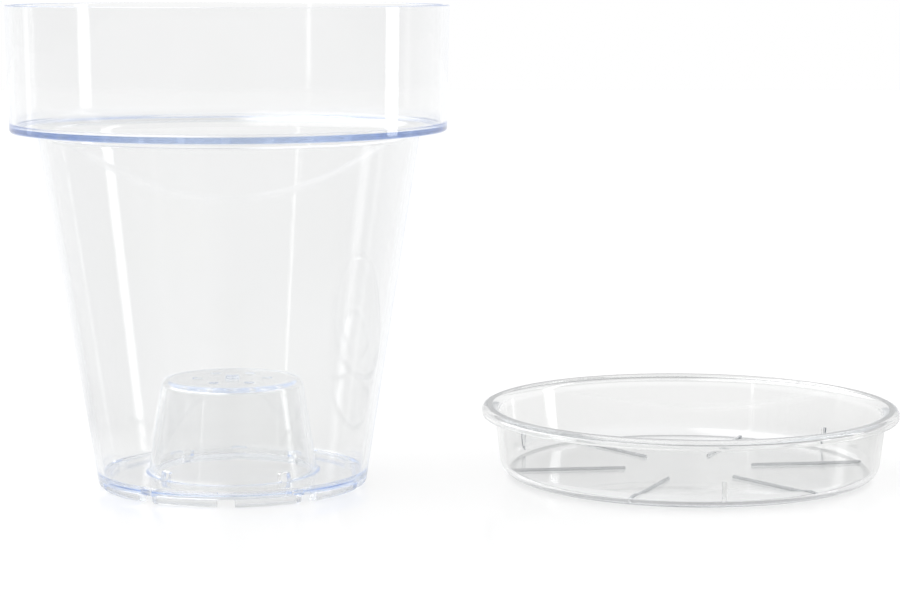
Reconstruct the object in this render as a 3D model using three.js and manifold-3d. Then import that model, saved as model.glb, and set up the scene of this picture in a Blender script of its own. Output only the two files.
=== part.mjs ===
// Clear orchid pot and its saucer: two styrene mouldings that stand side by side on a table.
// Millimetres, +Z up. The origin is on the table, at the middle of the pair's footprint.
import * as THREE from 'three';
import { mergeVertices } from 'three/addons/utils/BufferGeometryUtils.js';
import Module from 'manifold-3d';

const wasm = await Module();
wasm.setup();

// Pot: collar and ledge
const rimRadius = 75;
const potHeight = 164.3;
const collarHeight = 42.7;
const collarDraft = 0.8;
const ledgeWidth = 9.1;
const ledgeThickness = 2;
const rimRound = 0.4;
const ledgeEdgeRound = 1.2;
const ledgeFillet = 3.1;
const ledgeCornerRound = 1.4;

// Pot: tapered body, floor and foot
const baseRadius = 46;
const potWall = 2.2;
const floorThickness = 1.7;
const footHeight = 3;
const footRingWidth = 3.9;
const baseRound = 2;
const floorFillet = 1.4;
const brokenEdge = 0.5;

// Pot: hollow air cone that rises from the floor
const coneHeight = 36.5;
const coneTopRadius = 24;
const coneFootRadius = 29;
const coneWall = 2;
const coneEdgeRound = 2.6;
const coneInsideRound = 0.8;
const gateRadius = 2.4;
const gateHeight = 1.2;

// Pot: openings for air and water
const notchCount = 10;
const notchWidth = 6;
const firstNotchAngle = -88.4;
const slotCount = 4;
const slotWidth = 4.2;
const slotHeight = 2.6;
const slotDepth = 1.5;
const firstSlotAngle = -48;
const airHoleCount = 6;
const airHoleDiameter = 3.6;
const airHoleCircle = 12;
const firstAirHoleAngle = 3;

// Saucer: dish and turned-down lip
const saucerHeight = 24.1;
const saucerRoom = 18.2;
const saucerDraft = 2.5;
const saucerWall = 1.8;
const saucerFloor = 1.8;
const saucerBaseRound = 5.5;
const lipWidth = 4.5;
const lipHeight = 3.2;
const lipWall = 1.5;
const lipRound = 0.5;
const lipCornerRound = 1.5;
const lipFillet = 1.2;

// Saucer: floor ribs that carry the pot's foot, and wall gussets
const ribCount = 6;
const ribWidth = 1.3;
const ribHeight = 1;
const ribReach = 19.5;
const firstRibAngle = 6.9;
const gussetCount = 3;
const gussetThickness = 1.4;
const gussetDepth = 1.6;
const gussetHeight = 7.6;
const firstGussetAngle = 35;

// How the pair stands on the table
const tableGap = 12.3;
const saucerSetBack = 17;

// Fineness of the round surfaces, and how far cutters stand past what they cut
const turnSteps = 64;
const arcStepLength = 1.5;
const leastArcSteps = 2;
const holeSides = 20;
const cutMargin = 1;

// Heights and radii that follow from the sizes above
const ledgeBottom = potHeight - collarHeight;
const ledgeTop = ledgeBottom + ledgeThickness;
const collarFootRadius = rimRadius - collarDraft;
const bodyTopRadius = collarFootRadius - ledgeWidth;
const footRingInside = baseRadius - footRingWidth;
const floorTop = footHeight + floorThickness;
const saucerBaseRadius = baseRadius + saucerRoom + saucerWall;
const saucerWallTop = saucerBaseRadius + saucerDraft;
const lipRadius = saucerWallTop + lipWidth;
const lipBottom = saucerHeight - lipHeight;
const lipUnderside = saucerHeight - lipWall;

// Radius at a height on a straight line between two rings
function onSlope(height, lowRadius, lowHeight, highRadius, highHeight) {
  const share = (height - lowHeight) / (highHeight - lowHeight);
  return lowRadius + (highRadius - lowRadius) * share;
}

function bodyRadius(height) {
  return onSlope(height, baseRadius, 0, bodyTopRadius, ledgeBottom);
}

function collarRadius(height) {
  return onSlope(height, collarFootRadius, ledgeBottom, rimRadius, potHeight);
}

function coneRadius(height) {
  return onSlope(height, coneFootRadius, floorTop, coneTopRadius, coneHeight);
}

function saucerRadius(height) {
  return onSlope(height, saucerBaseRadius, 0, saucerWallTop, lipBottom);
}

function corner(radius, height, round = 0) {
  return { place: new THREE.Vector2(radius, height), round };
}

// Half-section outline through its corners, where a corner's round is the radius of its arc
function outline(corners) {
  const points = [];
  corners.forEach(({ place, round }, index) => {
    if (round === 0) {
      points.push(place);
      return;
    }
    const back = corners[index - 1].place.clone().sub(place);
    const ahead = corners[index + 1].place.clone().sub(place);
    const room = 0.495 * Math.min(back.length(), ahead.length());
    back.normalize();
    ahead.normalize();
    const halfAngle = Math.acos(back.dot(ahead)) / 2;
    const setBack = Math.min(round / Math.tan(halfAngle), room);
    const radius = setBack * Math.tan(halfAngle);
    const centre = back.clone().add(ahead).setLength(radius / Math.sin(halfAngle)).add(place);
    const start = back.clone().multiplyScalar(setBack).add(place).sub(centre);
    const side = Math.sign(back.cross(start));
    const turn = side * (Math.PI - 2 * halfAngle);
    const steps = Math.max(leastArcSteps, Math.round(radius * Math.abs(turn) / arcStepLength));
    for (let step = 0; step <= steps; step += 1) {
      const spoke = start.clone().rotateAround(new THREE.Vector2(), turn * step / steps);
      points.push(spoke.add(centre));
    }
  });
  return points;
}

// Solid of revolution about +Z
function turned(corners) {
  return new THREE.LatheGeometry(outline(corners), turnSteps).rotateX(Math.PI / 2);
}

function toSolid(geometry) {
  const bare = geometry.clone();
  bare.deleteAttribute('normal');
  bare.deleteAttribute('uv');
  const merged = mergeVertices(bare);
  const triangles = [];
  for (let first = 0; first < merged.index.count; first += 3) {
    const ends = [0, 1, 2].map((offset) => merged.index.getX(first + offset));
    if (new Set(ends).size === 3) {
      triangles.push(...ends);
    }
  }
  return new wasm.Manifold(new wasm.Mesh({
    numProp: 3,
    vertProperties: Float32Array.from(merged.attributes.position.array),
    triVerts: Uint32Array.from(triangles),
  }));
}

function toGeometry(solid) {
  const mesh = solid.getMesh();
  const geometry = new THREE.BufferGeometry();
  geometry.setAttribute('position', new THREE.BufferAttribute(mesh.vertProperties, 3));
  geometry.setIndex(new THREE.BufferAttribute(mesh.triVerts, 1));
  geometry.computeVertexNormals();
  return geometry;
}

// Copies of one geometry, evenly spaced about +Z from a first angle in degrees
function ringOf(geometry, count, firstAngle) {
  const copies = [];
  for (let index = 0; index < count; index += 1) {
    const angle = firstAngle + 360 * index / count;
    copies.push(geometry.clone().rotateZ(THREE.MathUtils.degToRad(angle)));
  }
  return copies;
}

function uprightHole(diameter, circleRadius, lowHeight, highHeight) {
  const length = highHeight - lowHeight + 2 * cutMargin;
  return new THREE.CylinderGeometry(diameter / 2, diameter / 2, length, holeSides)
    .rotateX(Math.PI / 2)
    .translate(circleRadius, 0, (lowHeight + highHeight) / 2);
}

// Upright plate along +X, from one radius to another and from one height to another
function radialPlate(fromRadius, toRadius, thickness, lowHeight, highHeight) {
  return new THREE.BoxGeometry(toRadius - fromRadius, thickness, highHeight - lowHeight)
    .translate((fromRadius + toRadius) / 2, 0, (lowHeight + highHeight) / 2);
}

function potGeometry() {
  const coneInsideTop = coneHeight - coneWall;
  const body = turned([
    corner(0, coneInsideTop),
    corner(coneRadius(coneInsideTop) - coneWall, coneInsideTop, coneInsideRound),
    corner(coneRadius(footHeight) - coneWall, footHeight, brokenEdge),
    corner(footRingInside, footHeight, brokenEdge),
    corner(footRingInside, 0),
    corner(baseRadius, 0, baseRound),
    corner(bodyTopRadius, ledgeBottom, ledgeFillet),
    corner(collarFootRadius, ledgeBottom, ledgeEdgeRound),
    corner(rimRadius, potHeight, rimRound),
    corner(rimRadius - potWall, potHeight, rimRound),
    corner(collarRadius(ledgeTop) - potWall, ledgeTop, ledgeCornerRound),
    corner(bodyRadius(ledgeTop) - potWall, ledgeTop, ledgeFillet + ledgeThickness),
    corner(bodyRadius(floorTop) - potWall, floorTop, floorFillet),
    corner(coneFootRadius, floorTop, floorFillet),
    corner(coneTopRadius, coneHeight, coneEdgeRound),
    corner(gateRadius, coneHeight),
    corner(gateRadius, coneHeight + gateHeight, brokenEdge),
    corner(0, coneHeight + gateHeight),
  ]);
  const notchFrom = footRingInside - cutMargin;
  const notchTo = baseRadius + cutMargin;
  const notch = radialPlate(notchFrom, notchTo, notchWidth, -cutMargin, footHeight);
  // Each drain slot opens the foot of the cone and the floor beside it
  const slotFrom = coneFootRadius - coneWall - cutMargin;
  const slotTo = coneFootRadius + slotDepth;
  const slot = radialPlate(slotFrom, slotTo, slotWidth, footHeight - cutMargin, floorTop + slotHeight);
  const airHole = uprightHole(airHoleDiameter, airHoleCircle, coneInsideTop, coneHeight);
  const cuts = [
    ...ringOf(notch, notchCount, firstNotchAngle),
    ...ringOf(slot, slotCount, firstSlotAngle),
    ...ringOf(airHole, airHoleCount, firstAirHoleAngle),
  ];
  return toGeometry(cuts.reduce((solid, cut) => solid.subtract(toSolid(cut)), toSolid(body)));
}

function saucerGeometry() {
  const dish = turned([
    corner(0, 0),
    corner(saucerBaseRadius, 0, saucerBaseRound),
    corner(saucerRadius(lipUnderside), lipUnderside, lipFillet),
    corner(lipRadius - lipWall, lipUnderside, lipRound),
    corner(lipRadius - lipWall, lipBottom, lipRound),
    corner(lipRadius, lipBottom, lipRound),
    corner(lipRadius, saucerHeight, lipCornerRound),
    corner(saucerRadius(saucerHeight) - saucerWall, saucerHeight, lipFillet + lipWall),
    corner(saucerRadius(saucerFloor) - saucerWall, saucerFloor, saucerBaseRound - saucerFloor),
    corner(0, saucerFloor),
  ]);
  // What lies inside the middle of the floor and wall: ribs and gussets root there
  const rootBottom = saucerFloor / 2;
  const rootDepth = saucerWall / 2;
  const inside = toSolid(turned([
    corner(0, rootBottom),
    corner(saucerRadius(rootBottom) - rootDepth, rootBottom, saucerBaseRound - rootDepth),
    corner(saucerWallTop - rootDepth, lipBottom),
    corner(0, lipBottom),
  ]));
  const ribStart = footRingInside - ribReach;
  const rib = radialPlate(ribStart, saucerWallTop, ribWidth, 0, saucerFloor + ribHeight);
  const gussetTop = saucerFloor + gussetHeight;
  const gussetEdge = saucerRadius(gussetTop) - saucerWall - gussetDepth;
  const gusset = radialPlate(gussetEdge, saucerWallTop, gussetThickness, 0, gussetTop);
  const plates = [
    ...ringOf(rib, ribCount, firstRibAngle),
    ...ringOf(gusset, gussetCount, firstGussetAngle),
  ];
  const rooted = plates.map((plate) => toSolid(plate).intersect(inside));
  return toGeometry(rooted.reduce((solid, plate) => solid.add(plate), toSolid(dish)));
}

function clearStyrene(color, opacity) {
  const look = { color, opacity, transparent: true, roughness: 0.05, metalness: 0 };
  return new THREE.MeshStandardMaterial(look);
}

// Both stand on the table, the saucer to the right and a little further back
const axisDistance = rimRadius + tableGap + lipRadius;
const acrossDistance = Math.sqrt(axisDistance ** 2 - saucerSetBack ** 2);
const potX = (rimRadius - lipRadius - acrossDistance) / 2;
const potY = (rimRadius - lipRadius - saucerSetBack) / 2;

const pot = new THREE.Mesh(potGeometry(), clearStyrene(0xdfe6f4, 0.3));
pot.name = 'pot';
pot.position.set(potX, potY, 0);

const saucer = new THREE.Mesh(saucerGeometry(), clearStyrene(0xe8ecec, 0.3));
saucer.name = 'saucer';
saucer.position.set(potX + acrossDistance, potY + saucerSetBack, 0);

const orchidPotSet = new THREE.Group();
orchidPotSet.add(pot, saucer);

export default orchidPotSet;
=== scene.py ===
"""Looks of a clear orchid pot and its saucer: two clear styrene mouldings on a white studio table."""

import math

import bmesh
import bpy
from mathutils import Matrix, Vector


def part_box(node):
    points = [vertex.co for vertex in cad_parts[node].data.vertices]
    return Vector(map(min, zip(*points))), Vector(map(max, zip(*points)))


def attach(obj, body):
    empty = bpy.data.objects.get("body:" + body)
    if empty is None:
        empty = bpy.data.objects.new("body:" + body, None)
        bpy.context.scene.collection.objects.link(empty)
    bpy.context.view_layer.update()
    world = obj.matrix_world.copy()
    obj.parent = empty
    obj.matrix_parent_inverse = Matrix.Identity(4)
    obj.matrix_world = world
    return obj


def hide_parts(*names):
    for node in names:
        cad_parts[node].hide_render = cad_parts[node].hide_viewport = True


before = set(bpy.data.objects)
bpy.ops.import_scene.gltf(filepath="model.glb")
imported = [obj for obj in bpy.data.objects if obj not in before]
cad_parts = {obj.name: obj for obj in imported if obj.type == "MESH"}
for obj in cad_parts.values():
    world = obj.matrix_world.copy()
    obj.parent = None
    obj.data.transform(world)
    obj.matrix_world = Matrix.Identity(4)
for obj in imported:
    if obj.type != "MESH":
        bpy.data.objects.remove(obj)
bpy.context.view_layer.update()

MM = 0.001

# Fineness of the smooth surfaces
TURN_STEPS = 576
ARC_STEPS = 8
HOLE_SIDES = 48
EDGE_STEPS = 4
SHARP_ANGLE = math.radians(32)

# Pot: collar and ledge
collar_height = 42.7 * MM
collar_draft = 0.8 * MM
ledge_width = 9.1 * MM
ledge_thickness = 2 * MM
rim_round = 0.4 * MM
ledge_edge_round = 1.2 * MM
ledge_fillet = 3.1 * MM
ledge_corner_round = 1.4 * MM

# Pot: tapered body, floor and foot
base_radius = 46 * MM
pot_wall = 2.2 * MM
floor_thickness = 1.7 * MM
foot_height = 3 * MM
foot_ring_width = 3.9 * MM
base_round = 2 * MM
floor_fillet = 1.4 * MM
broken_edge = 0.5 * MM

# Pot: hollow air cone that rises from the floor
cone_height = 36.5 * MM
cone_top_radius = 24 * MM
cone_foot_radius = 29 * MM
cone_wall = 2 * MM
cone_edge_round = 2.6 * MM
cone_inside_round = 0.8 * MM
gate_radius = 2.4 * MM
gate_height = 1.2 * MM
gate_fillet = 0.3 * MM

# Pot: openings for air and water
notch_count = 10
notch_width = 6 * MM
first_notch_angle = -88.4
slot_count = 4
slot_width = 4.2 * MM
slot_height = 2.6 * MM
slot_depth = 1.5 * MM
first_slot_angle = -48
air_hole_count = 6
air_hole_diameter = 3.6 * MM
air_hole_circle = 12 * MM
first_air_hole_angle = 3

# Saucer: dish and lip
saucer_room = 18.2 * MM
saucer_draft = 2.5 * MM
saucer_wall = 1.8 * MM
saucer_floor = 1.8 * MM
saucer_base_round = 5.5 * MM
lip_width = 4.5 * MM
lip_height = 3.2 * MM
lip_wall = 1.5 * MM
lip_round = 0.5 * MM
lip_corner_round = 1.5 * MM
lip_fillet = 1.2 * MM

# Saucer: floor ribs and wall gussets
rib_count = 6
rib_width = 1.3 * MM
rib_height = 1 * MM
rib_reach = 19.5 * MM
first_rib_angle = 6.9
gusset_count = 3
gusset_thickness = 1.4 * MM
gusset_depth = 1.6 * MM
gusset_height = 7.6 * MM
first_gusset_angle = 35
rib_edge_round = 0.6 * MM
gusset_edge_round = 0.3 * MM

# Margins for cuts, and for telling apart the faces with a material of their own
CUT_MARGIN = 1 * MM
face_margin = 0.05 * MM
# Height of the saucer's rounded lower edge that gets painted shade
low_shade_band_height = 0.6 * MM
flat_face_normal = 0.999
notch_side_normal = 0.6

# Plastic: a painted glow that stands in for light scattering out of long paths inside it, faint clouds,
# uneven gloss and flow ripples
styrene_ior = 1.59
painted_glow_colour = (0.8, 0.88, 1)
cloud_scale = 22
cloud_detail = 3
cloud_from = 0.5
cloud_full = 0.75
cloud_strength = 0.35
polish_scale = 60
polish_detail = 4
polish_from = 0.35
polish_full = 0.7
gloss_low = 0.02
gloss_high = 0.045
soft_fade = 1.5 * MM
flow_stretch = (1, 1, 0.25)
flow_scale = 70
flow_detail = 1
flow_strength = 0.05
flow_depth = 0.3 * MM

# Pot plastic: blue where light runs far inside it
pot_colour = (0.94, 0.938, 0.931)
collar_colour = (0.964, 0.961, 0.954)
pot_cloud = (0.932, 0.932, 0.914)
pot_tint = (0.891, 0.915, 0.956)
pot_density = 54
# Painted glow: a faint emission standing in for light scattered out of the pot's long inner paths
pot_painted_glow = 0.012
foot_softness = 0.25
notch_density = 0

# Saucer plastic: nearly neutral, with painted shade that makes the ribs and edges read as grey lines
saucer_floor_colour = (0.992, 0.996, 1)
saucer_wall_colour = (0.9, 0.902, 0.898)
# Painted highlight: the lip is painted paler than the wall, standing in for its pale, highlighted look
painted_pale_lip_colour = (0.965, 0.967, 0.965)
saucer_cloud = (0.912, 0.914, 0.907)
saucer_tint = (0.8, 0.81, 0.815)
saucer_density = 12
# Painted glow: a faint emission standing in for light scattered out of the saucer's inner paths
saucer_painted_glow = 0.003
# Painted shade: greyer tones for the ribs, the lip top and the lower edge, standing in for their dark
# refraction lines
painted_rib_shade_colour = (0.52, 0.53, 0.54)
painted_line_shade_colour = (0.42, 0.43, 0.44)
painted_shade_cloud = (0.45, 0.46, 0.47)

# Room: white behind the pair, darker beside and behind the viewer
room_dark = 0.65
dark_until = 0.1
white_from = 0.85
sky_level = 0.88
sky_from = 0.05
sky_full = 0.13
ceiling_level = 2
ceiling_from = 0.25
ceiling_full = 0.5
ceiling_side_from = 0.12
ceiling_side_full = -0.25

# Table: a painted pool of light, white near the pair and as dark as the room farther out where only
# reflections show it
table_half_width = 3
table_drop = 0.2 * MM
table_glow = 0.885
table_bent_share = 0.935
table_diffuse = 0.25
table_gloss = 0.25
table_roughness = 0.08
painted_pool_radius = 0.12
painted_pool_fade_radius = 0.35

# Camera, with its place counted from the foot of the pot's axis
sensor_width = 36
lens_length = 102.74
camera_offset = Vector((75.08, -875.9, 174.2)) * MM
camera_tilt = 0.1251

# Light paths: clear walls behind clear walls need many bounces
LIGHT_BOUNCES = 128

# Places taken from the frame
pot_low, pot_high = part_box("pot")
saucer_low, saucer_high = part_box("saucer")
pot_axis = Vector(((pot_low.x + pot_high.x) / 2, (pot_low.y + pot_high.y) / 2, 0))
saucer_axis = Vector(((saucer_low.x + saucer_high.x) / 2, (saucer_low.y + saucer_high.y) / 2, 0))
rim_radius = (pot_high.x - pot_low.x) / 2
pot_height = pot_high.z
saucer_height = saucer_high.z

# Heights and radii that follow from the sizes above
ledge_bottom = pot_height - collar_height
ledge_top = ledge_bottom + ledge_thickness
collar_foot_radius = rim_radius - collar_draft
body_top_radius = collar_foot_radius - ledge_width
foot_ring_inside = base_radius - foot_ring_width
floor_top = foot_height + floor_thickness
cone_inside_top = cone_height - cone_wall
saucer_base_radius = base_radius + saucer_room + saucer_wall
saucer_wall_top = saucer_base_radius + saucer_draft
lip_radius = saucer_wall_top + lip_width
lip_bottom = saucer_height - lip_height
lip_underside = saucer_height - lip_wall
wall_tone_height = saucer_height / 3


def on_slope(height, low_radius, low_height, high_radius, high_height):
    share = (height - low_height) / (high_height - low_height)
    return low_radius + (high_radius - low_radius) * share


def body_radius(height):
    return on_slope(height, base_radius, 0, body_top_radius, ledge_bottom)


def collar_radius(height):
    return on_slope(height, collar_foot_radius, ledge_bottom, rim_radius, pot_height)


def cone_radius(height):
    return on_slope(height, cone_foot_radius, floor_top, cone_top_radius, cone_height)


def saucer_radius(height):
    return on_slope(height, saucer_base_radius, 0, saucer_wall_top, lip_bottom)


def rounded(corners):
    """Half-section outline through corners (radius, height, round), each round drawn as an arc."""
    points = []
    for index, (radius, height, round_radius) in enumerate(corners):
        place = Vector((radius, height))
        if round_radius == 0:
            points.append(place)
            continue
        back = Vector(corners[index - 1][:2]) - place
        ahead = Vector(corners[index + 1][:2]) - place
        half_angle = back.angle(ahead) / 2
        set_back = round_radius / math.tan(half_angle)
        inward = (back.normalized() + ahead.normalized()).normalized()
        centre = place + inward * (round_radius / math.sin(half_angle))
        start = place + back.normalized() * set_back - centre
        side = math.copysign(1, back.x * start.y - back.y * start.x)
        turn = side * (math.pi - 2 * half_angle)
        for step in range(ARC_STEPS + 1):
            points.append(centre + Matrix.Rotation(turn * step / ARC_STEPS, 2) @ start)
    return points


def new_piece(name, mesh, place):
    piece = bpy.data.objects.new(name, mesh)
    bpy.context.scene.collection.objects.link(piece)
    piece.location = place
    return piece


def turned(name, corners, place):
    """Solid of revolution about its own upright axis."""
    outline = rounded(corners)
    bm = bmesh.new()
    rings = []
    for radius, height in outline:
        steps = TURN_STEPS if radius > 0 else 1
        angles = [math.tau * step / TURN_STEPS for step in range(steps)]
        rings.append([bm.verts.new((radius * math.cos(a), radius * math.sin(a), height)) for a in angles])
    for ring, after in zip(rings, rings[1:]):
        for step in range(TURN_STEPS):
            following = (step + 1) % TURN_STEPS
            corner_verts = [
                ring[step % len(ring)],
                ring[following % len(ring)],
                after[following % len(after)],
                after[step % len(after)],
            ]
            bm.faces.new(dict.fromkeys(corner_verts))
    mesh = bpy.data.meshes.new(name)
    bm.to_mesh(mesh)
    bm.free()
    return new_piece(name, mesh, place)


def ring_of(add_shape, count, first_angle):
    """One mesh of evenly spaced copies about the upright axis."""
    bm = bmesh.new()
    for index in range(count):
        before = set(bm.verts)
        add_shape(bm)
        fresh = [vert for vert in bm.verts if vert not in before]
        turn = Matrix.Rotation(math.radians(first_angle + 360 * index / count), 3, "Z")
        bmesh.ops.rotate(bm, verts=fresh, cent=(0, 0, 0), matrix=turn)
    mesh = bpy.data.meshes.new("ring")
    bm.to_mesh(mesh)
    bm.free()
    return mesh


def upright_hole(diameter, circle_radius, low_height, high_height):
    def add(bm):
        middle = Vector((circle_radius, 0, (low_height + high_height) / 2))
        bmesh.ops.create_cone(
            bm,
            cap_ends=True,
            segments=HOLE_SIDES,
            radius1=diameter / 2,
            radius2=diameter / 2,
            depth=high_height - low_height + 2 * CUT_MARGIN,
            matrix=Matrix.Translation(middle),
        )
    return add


def radial_plate(from_radius, to_radius, thickness, low_height, high_height, edge_round):
    def add(bm):
        size = Matrix.Diagonal((to_radius - from_radius, thickness, high_height - low_height, 1))
        middle = Vector(((from_radius + to_radius) / 2, 0, (low_height + high_height) / 2))
        made = bmesh.ops.create_cube(bm, size=1, matrix=Matrix.Translation(middle) @ size)
        if edge_round:
            edges = {edge for vert in made["verts"] for edge in vert.link_edges}
            bmesh.ops.bevel(
                bm,
                geom=list(edges),
                offset=edge_round,
                segments=EDGE_STEPS,
                profile=0.5,
                affect="EDGES",
            )
    return add


def combine(piece, mesh, operation):
    """Cuts the mesh away from the piece, or joins it to the piece."""
    tool = new_piece("tool", mesh, piece.location)
    modifier = piece.modifiers.new("combine", "BOOLEAN")
    modifier.operation = operation
    modifier.solver = "EXACT"
    modifier.object = tool
    result = bpy.data.meshes.new_from_object(piece.evaluated_get(bpy.context.evaluated_depsgraph_get()))
    piece.modifiers.clear()
    piece.data = result
    bpy.data.objects.remove(tool)


def smooth(piece):
    piece.data.shade_smooth()
    piece.data.set_sharp_from_angle(angle=SHARP_ANGLE)
    even = piece.modifiers.new("even_normals", "WEIGHTED_NORMAL")
    even.keep_sharp = True


def make_pot():
    pot = turned("clear_pot", [
        (0, cone_inside_top, 0),
        (cone_radius(cone_inside_top) - cone_wall, cone_inside_top, cone_inside_round),
        (cone_radius(foot_height) - cone_wall, foot_height, broken_edge),
        (foot_ring_inside, foot_height, broken_edge),
        (foot_ring_inside, 0, broken_edge),
        (base_radius, 0, base_round),
        (body_top_radius, ledge_bottom, ledge_fillet),
        (collar_foot_radius, ledge_bottom, ledge_edge_round),
        (rim_radius, pot_height, rim_round),
        (rim_radius - pot_wall, pot_height, rim_round),
        (collar_radius(ledge_top) - pot_wall, ledge_top, ledge_corner_round),
        (body_radius(ledge_top) - pot_wall, ledge_top, ledge_fillet + ledge_thickness),
        (body_radius(floor_top) - pot_wall, floor_top, floor_fillet),
        (cone_foot_radius, floor_top, floor_fillet),
        (cone_top_radius, cone_height, cone_edge_round),
        (gate_radius, cone_height, gate_fillet),
        (gate_radius, cone_height + gate_height, broken_edge),
        (0, cone_height + gate_height, 0),
    ], pot_axis)
    notch = radial_plate(
        foot_ring_inside - CUT_MARGIN,
        base_radius + CUT_MARGIN,
        notch_width,
        -CUT_MARGIN,
        foot_height,
        broken_edge,
    )
    slot = radial_plate(
        cone_foot_radius - cone_wall - CUT_MARGIN,
        cone_foot_radius + slot_depth,
        slot_width,
        foot_height - CUT_MARGIN,
        floor_top + slot_height,
        broken_edge,
    )
    air_hole = upright_hole(air_hole_diameter, air_hole_circle, cone_inside_top, cone_height)
    combine(pot, ring_of(notch, notch_count, first_notch_angle), "DIFFERENCE")
    combine(pot, ring_of(slot, slot_count, first_slot_angle), "DIFFERENCE")
    combine(pot, ring_of(air_hole, air_hole_count, first_air_hole_angle), "DIFFERENCE")
    smooth(pot)
    return pot


def make_saucer():
    saucer = turned("clear_saucer", [
        (0, 0, 0),
        (saucer_base_radius, 0, saucer_base_round),
        (saucer_radius(lip_underside), lip_underside, lip_fillet),
        (lip_radius - lip_wall, lip_underside, lip_round),
        (lip_radius - lip_wall, lip_bottom, lip_round),
        (lip_radius, lip_bottom, lip_round),
        (lip_radius, saucer_height, lip_corner_round),
        (saucer_radius(saucer_height) - saucer_wall, saucer_height, lip_fillet + lip_wall),
        (saucer_radius(saucer_floor) - saucer_wall, saucer_floor, saucer_base_round - saucer_floor),
        (0, saucer_floor, 0),
    ], saucer_axis)
    root = saucer_floor / 2
    rib_end = saucer_radius(saucer_floor) - saucer_wall - root
    rib_start = foot_ring_inside - rib_reach
    rib_top = saucer_floor + rib_height
    rib = radial_plate(rib_start, rib_end, rib_width, root, rib_top, rib_edge_round)
    gusset_top = saucer_floor + gusset_height
    gusset_back = saucer_radius(saucer_base_round) - root
    gusset_edge = saucer_radius(gusset_top) - saucer_wall - gusset_depth
    gusset = radial_plate(
        gusset_edge,
        gusset_back,
        gusset_thickness,
        saucer_floor + root,
        gusset_top,
        gusset_edge_round,
    )
    combine(saucer, ring_of(rib, rib_count, first_rib_angle), "UNION")
    combine(saucer, ring_of(gusset, gusset_count, first_gusset_angle), "UNION")
    smooth(saucer)
    return saucer


def map_range(nodes, from_min, from_max, to_min, to_max):
    node = nodes.new("ShaderNodeMapRange")
    node.interpolation_type = "SMOOTHSTEP"
    node.inputs["From Min"].default_value = from_min
    node.inputs["From Max"].default_value = from_max
    node.inputs["To Min"].default_value = to_min
    node.inputs["To Max"].default_value = to_max
    return node


def math_node(nodes, operation):
    node = nodes.new("ShaderNodeMath")
    node.operation = operation
    return node


def mix_colour(nodes, colour):
    """Mix whose B is the colour, and whose A is the colour too until something is linked to it."""
    node = nodes.new("ShaderNodeMix")
    node.data_type = "RGBA"
    node.inputs["A"].default_value = (*colour, 1)
    node.inputs["B"].default_value = (*colour, 1)
    return node


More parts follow.
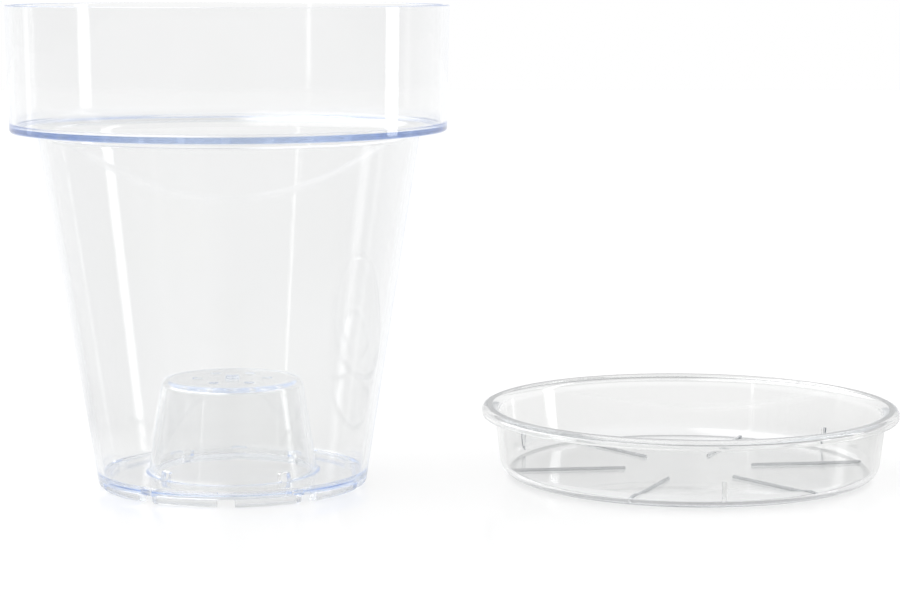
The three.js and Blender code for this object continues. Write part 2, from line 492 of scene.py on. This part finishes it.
def clear_styrene(name, base_colour, cloud_colour, tint, density, painted_glow_strength, changes=(), soft_bands=()):
    """Clear plastic with faint flow clouds, an uneven moulded gloss and a faint painted glow.

    Its colour changes up the wall: each change is (from height, to height, colour).
    Each soft band, (middle height, half height, roughness), is less polished.
    """
    material = bpy.data.materials.new(name)
    material.use_nodes = True
    nodes, links = material.node_tree.nodes, material.node_tree.links
    shader = nodes["Principled BSDF"]
    shader.inputs["Transmission Weight"].default_value = 1
    shader.inputs["IOR"].default_value = styrene_ior
    # Painted glow: a faint even emission stands in for light scattering out of long paths inside the
    # plastic
    shader.inputs["Emission Color"].default_value = (*painted_glow_colour, 1)
    shader.inputs["Emission Strength"].default_value = painted_glow_strength

    place = nodes.new("ShaderNodeTexCoord")
    split = nodes.new("ShaderNodeSeparateXYZ")
    links.new(place.outputs["Object"], split.inputs["Vector"])
    tone = mix_colour(nodes, base_colour)
    for from_height, to_height, colour in changes:
        climb = map_range(nodes, from_height, to_height, 0, 1)
        links.new(split.outputs["Z"], climb.inputs["Value"])
        changed = mix_colour(nodes, colour)
        links.new(climb.outputs["Result"], changed.inputs["Factor"])
        links.new(tone.outputs["Result"], changed.inputs["A"])
        tone = changed

    clouds = nodes.new("ShaderNodeTexNoise")
    clouds.inputs["Scale"].default_value = cloud_scale
    clouds.inputs["Detail"].default_value = cloud_detail
    links.new(place.outputs["Object"], clouds.inputs["Vector"])
    cloud_share = map_range(nodes, cloud_from, cloud_full, 0, cloud_strength)
    links.new(clouds.outputs["Fac"], cloud_share.inputs["Value"])
    clouded = mix_colour(nodes, cloud_colour)
    links.new(cloud_share.outputs["Result"], clouded.inputs["Factor"])
    links.new(tone.outputs["Result"], clouded.inputs["A"])
    links.new(clouded.outputs["Result"], shader.inputs["Base Color"])

    polish = nodes.new("ShaderNodeTexNoise")
    polish.inputs["Scale"].default_value = polish_scale
    polish.inputs["Detail"].default_value = polish_detail
    links.new(place.outputs["Object"], polish.inputs["Vector"])
    gloss = map_range(nodes, polish_from, polish_full, gloss_low, gloss_high)
    links.new(polish.outputs["Fac"], gloss.inputs["Value"])
    finish = gloss.outputs["Result"]
    for middle, half_height, softness in soft_bands:
        away = math_node(nodes, "SUBTRACT")
        away.inputs[1].default_value = middle
        links.new(split.outputs["Z"], away.inputs[0])
        off = math_node(nodes, "ABSOLUTE")
        links.new(away.outputs["Value"], off.inputs[0])
        band = map_range(nodes, half_height, half_height + soft_fade, softness, 0)
        links.new(off.outputs["Value"], band.inputs["Value"])
        softer = math_node(nodes, "MAXIMUM")
        links.new(finish, softer.inputs[0])
        links.new(band.outputs["Result"], softer.inputs[1])
        finish = softer.outputs["Value"]
    links.new(finish, shader.inputs["Roughness"])

    flow = nodes.new("ShaderNodeMapping")
    flow.inputs["Scale"].default_value = flow_stretch
    links.new(place.outputs["Object"], flow.inputs["Vector"])
    waves = nodes.new("ShaderNodeTexNoise")
    waves.inputs["Scale"].default_value = flow_scale
    waves.inputs["Detail"].default_value = flow_detail
    links.new(flow.outputs["Vector"], waves.inputs["Vector"])
    ripple = nodes.new("ShaderNodeBump")
    ripple.inputs["Strength"].default_value = flow_strength
    ripple.inputs["Distance"].default_value = flow_depth
    links.new(waves.outputs["Fac"], ripple.inputs["Height"])
    links.new(ripple.outputs["Normal"], shader.inputs["Normal"])

    body = nodes.new("ShaderNodeVolumeAbsorption")
    body.inputs["Color"].default_value = (*tint, 1)
    body.inputs["Density"].default_value = density
    links.new(body.outputs["Volume"], nodes["Material Output"].inputs["Volume"])
    return material


def add_material(piece, material):
    piece.data.materials.append(material)
    return len(piece.data.materials) - 1


def dress(piece, body, node, material):
    piece.data.materials.clear()
    add_material(piece, material)
    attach(piece, body)
    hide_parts(node)


def dress_notches(pot, material):
    """Gives the sides of the foot's notches, which face along the foot, a paler material of their own."""
    notch_index = add_material(pot, material)
    for face in pot.data.polygons:
        outward = Vector((face.center.x, face.center.y, 0)).normalized()
        upright = abs(face.normal.z) < notch_side_normal
        sideways = abs(face.normal.dot(outward)) < notch_side_normal
        if upright and sideways and face.center.z < foot_height:
            face.material_index = notch_index


def paint_shaded_lines(saucer, rib_shade_material, line_shade_material):
    """Paints shade on the ribs, the lip's flat top and the rounded lower edge, which read as lines: greyer
    tones standing in for the dark lines refraction draws there.
    """
    rib_shade_index = add_material(saucer, rib_shade_material)
    line_shade_index = add_material(saucer, line_shade_material)
    rib_bottom = saucer_floor + face_margin
    rib_top = saucer_floor + rib_height + face_margin
    flat_radius = saucer_radius(saucer_floor) - saucer_wall - saucer_base_round
    for face in saucer.data.polygons:
        height = face.center.z
        if rib_bottom < height < rib_top and face.center.xy.length < flat_radius:
            face.material_index = rib_shade_index
        # Painted shade on the lip's flat top and on the rounded lower edge
        shaded_lip_top = height > saucer_height - face_margin and face.normal.z > flat_face_normal
        shaded_low_rim = height < low_shade_band_height and -flat_face_normal < face.normal.z < 0
        if shaded_lip_top or shaded_low_rim:
            face.material_index = line_shade_index


def make_world():
    """Studio room: plain white to the camera, and for other rays darker in front with a bright ceiling."""
    world = bpy.data.worlds.new("studio")
    bpy.context.scene.world = world
    world.use_nodes = True
    nodes, links = world.node_tree.nodes, world.node_tree.links
    direction = nodes.new("ShaderNodeTexCoord")
    split = nodes.new("ShaderNodeSeparateXYZ")
    links.new(direction.outputs["Generated"], split.inputs["Vector"])
    ceiling = map_range(nodes, ceiling_from, ceiling_full, 0, ceiling_level)
    links.new(split.outputs["Z"], ceiling.inputs["Value"])
    front = map_range(nodes, dark_until, white_from, room_dark, 1)
    links.new(split.outputs["Y"], front.inputs["Value"])
    ceiling_side = map_range(nodes, ceiling_side_from, ceiling_side_full, 0, 1)
    links.new(split.outputs["X"], ceiling_side.inputs["Value"])
    softbox = math_node(nodes, "MULTIPLY")
    links.new(ceiling.outputs["Result"], softbox.inputs[0])
    links.new(ceiling_side.outputs["Result"], softbox.inputs[1])
    sky = map_range(nodes, sky_from, sky_full, 1, sky_level)
    links.new(split.outputs["Z"], sky.inputs["Value"])
    backdrop = math_node(nodes, "MINIMUM")
    links.new(front.outputs["Result"], backdrop.inputs[0])
    links.new(sky.outputs["Result"], backdrop.inputs[1])
    room = math_node(nodes, "MAXIMUM")
    links.new(softbox.outputs["Value"], room.inputs[0])
    links.new(backdrop.outputs["Value"], room.inputs[1])
    path = nodes.new("ShaderNodeLightPath")
    seen = math_node(nodes, "MAXIMUM")
    links.new(room.outputs["Value"], seen.inputs[0])
    links.new(path.outputs["Is Camera Ray"], seen.inputs[1])
    background = nodes["Background"]
    background.inputs["Color"].default_value = (1, 1, 1, 1)
    links.new(seen.outputs["Value"], background.inputs["Strength"])


def table_level(nodes, links):
    """Glow of the table: full for the camera, and for bent rays a painted pool of light, white near the
    pair and darker far out.
    """
    place = nodes.new("ShaderNodeTexCoord")
    direction = nodes.new("ShaderNodeVectorMath")
    direction.operation = "NORMALIZE"
    links.new(place.outputs["Object"], direction.inputs[0])
    split = nodes.new("ShaderNodeSeparateXYZ")
    links.new(direction.outputs["Vector"], split.inputs["Vector"])
    far_level = map_range(nodes, dark_until, white_from, room_dark, 1)
    links.new(split.outputs["Y"], far_level.inputs["Value"])
    distance = nodes.new("ShaderNodeVectorMath")
    distance.operation = "LENGTH"
    links.new(place.outputs["Object"], distance.inputs[0])
    # Painted pool of light: the glow seen by bent rays fades with distance from the pair
    nearness = map_range(nodes, painted_pool_radius, painted_pool_fade_radius, 1, 0)
    links.new(distance.outputs["Value"], nearness.inputs["Value"])
    lit = math_node(nodes, "MAXIMUM")
    links.new(far_level.outputs["Result"], lit.inputs[0])
    links.new(nearness.outputs["Result"], lit.inputs[1])
    mirrored = math_node(nodes, "MULTIPLY")
    mirrored.inputs[1].default_value = table_bent_share
    links.new(lit.outputs["Value"], mirrored.inputs[0])
    path = nodes.new("ShaderNodeLightPath")
    bent = math_node(nodes, "MAXIMUM")
    links.new(path.outputs["Is Glossy Ray"], bent.inputs[0])
    links.new(path.outputs["Is Transmission Ray"], bent.inputs[1])
    shown = math_node(nodes, "MULTIPLY")
    links.new(bent.outputs["Value"], shown.inputs[0])
    links.new(mirrored.outputs["Value"], shown.inputs[1])
    seen = math_node(nodes, "MAXIMUM")
    links.new(path.outputs["Is Camera Ray"], seen.inputs[0])
    links.new(shown.outputs["Value"], seen.inputs[1])
    level = math_node(nodes, "MULTIPLY")
    level.inputs[1].default_value = table_glow
    links.new(seen.outputs["Value"], level.inputs[0])
    return level


def make_floor():
    """White table, partly lit and partly glowing, with a faint gloss."""
    mesh = bpy.data.meshes.new("table")
    half = table_half_width
    corners = [(-half, -half, 0), (half, -half, 0), (half, half, 0), (-half, half, 0)]
    mesh.from_pydata(corners, [], [(0, 1, 2, 3)])
    table = new_piece("table", mesh, (0, 0, -table_drop))
    material = bpy.data.materials.new("white_table")
    material.use_nodes = True
    nodes, links = material.node_tree.nodes, material.node_tree.links
    nodes.remove(nodes["Principled BSDF"])
    diffuse = nodes.new("ShaderNodeBsdfDiffuse")
    diffuse.inputs["Color"].default_value = (table_diffuse, table_diffuse, table_diffuse, 1)
    glow = nodes.new("ShaderNodeEmission")
    links.new(table_level(nodes, links).outputs["Value"], glow.inputs["Strength"])
    both = nodes.new("ShaderNodeAddShader")
    links.new(diffuse.outputs["BSDF"], both.inputs[0])
    links.new(glow.outputs["Emission"], both.inputs[1])
    gloss = nodes.new("ShaderNodeBsdfGlossy")
    gloss.inputs["Roughness"].default_value = table_roughness
    mix = nodes.new("ShaderNodeMixShader")
    mix.inputs["Fac"].default_value = table_gloss
    links.new(both.outputs["Shader"], mix.inputs[1])
    links.new(gloss.outputs["BSDF"], mix.inputs[2])
    links.new(mix.outputs["Shader"], nodes["Material Output"].inputs["Surface"])
    mesh.materials.append(material)


def strip_light(name, azimuth, distance, width, height, middle_height, radiance):
    """Tall softbox that faces the pot, with its azimuth counted from the viewer's side to the right."""
    data = bpy.data.lights.new(name, "AREA")
    data.shape = "RECTANGLE"
    data.size = width
    data.size_y = height
    data.energy = radiance * math.pi * width * height
    light = bpy.data.objects.new(name, data)
    bpy.context.scene.collection.objects.link(light)
    angle = math.radians(azimuth)
    offset = Vector((math.sin(angle), -math.cos(angle), 0)) * distance
    light.location = pot_axis + offset + Vector((0, 0, middle_height))
    light.rotation_euler = (-offset).to_track_quat("-Z", "Y").to_euler()


def make_camera():
    data = bpy.data.cameras.new("camera")
    data.sensor_fit = "HORIZONTAL"
    data.sensor_width = sensor_width
    data.lens = lens_length
    camera = bpy.data.objects.new("camera", data)
    bpy.context.scene.collection.objects.link(camera)
    camera.location = pot_axis + camera_offset
    camera.rotation_euler = (math.pi / 2 - camera_tilt, 0, 0)
    bpy.context.scene.camera = camera


make_camera()
make_world()
make_floor()
strip_light(
    "right_strip", azimuth=95.5, distance=1.2, width=0.165, height=1.2, middle_height=0.5, radiance=3.5)
strip_light(
    "front_strip", azimuth=-42, distance=1.5, width=0.05, height=1, middle_height=0.63, radiance=1.6)
strip_light(
    "back_strip", azimuth=-118, distance=1.2, width=0.12, height=1, middle_height=0.5, radiance=0.45)

soft_foot = (0, foot_height - soft_fade, foot_softness)
pot_plastic = clear_styrene(
    "blue_clear_styrene",
    pot_colour,
    pot_cloud,
    pot_tint,
    pot_density,
    pot_painted_glow,
    changes=[(ledge_bottom - ledge_fillet, ledge_top + ledge_fillet, collar_colour)],
    soft_bands=[soft_foot],
)
saucer_plastic = clear_styrene(
    "neutral_clear_styrene",
    saucer_floor_colour,
    saucer_cloud,
    saucer_tint,
    saucer_density,
    saucer_painted_glow,
    changes=[
        (0, wall_tone_height, saucer_wall_colour),
        # Painted highlight: the lip turns paler again
        (lip_bottom - lip_wall, lip_bottom, painted_pale_lip_colour),
    ],
)
# Painted shade: greyer materials for the saucer's ribs and edge lines
rib_shade_plastic = clear_styrene(
    "painted_shade_rib_styrene", painted_rib_shade_colour, painted_shade_cloud, saucer_tint, saucer_density, saucer_painted_glow)
line_shade_plastic = clear_styrene(
    "painted_shade_line_styrene", painted_line_shade_colour, painted_shade_cloud, saucer_tint, saucer_density, saucer_painted_glow)
notch_plastic = clear_styrene(
    "pale_notch_styrene", pot_colour, pot_cloud, pot_tint, notch_density, pot_painted_glow, soft_bands=[soft_foot])
pot = make_pot()
dress(pot, "pot", "pot", pot_plastic)
dress_notches(pot, notch_plastic)
saucer = make_saucer()
dress(saucer, "saucer", "saucer", saucer_plastic)
paint_shaded_lines(saucer, rib_shade_plastic, line_shade_plastic)

scene = bpy.context.scene
scene.view_settings.view_transform = "Standard"
scene.cycles.max_bounces = LIGHT_BOUNCES
scene.cycles.transmission_bounces = LIGHT_BOUNCES
scene.cycles.glossy_bounces = LIGHT_BOUNCES
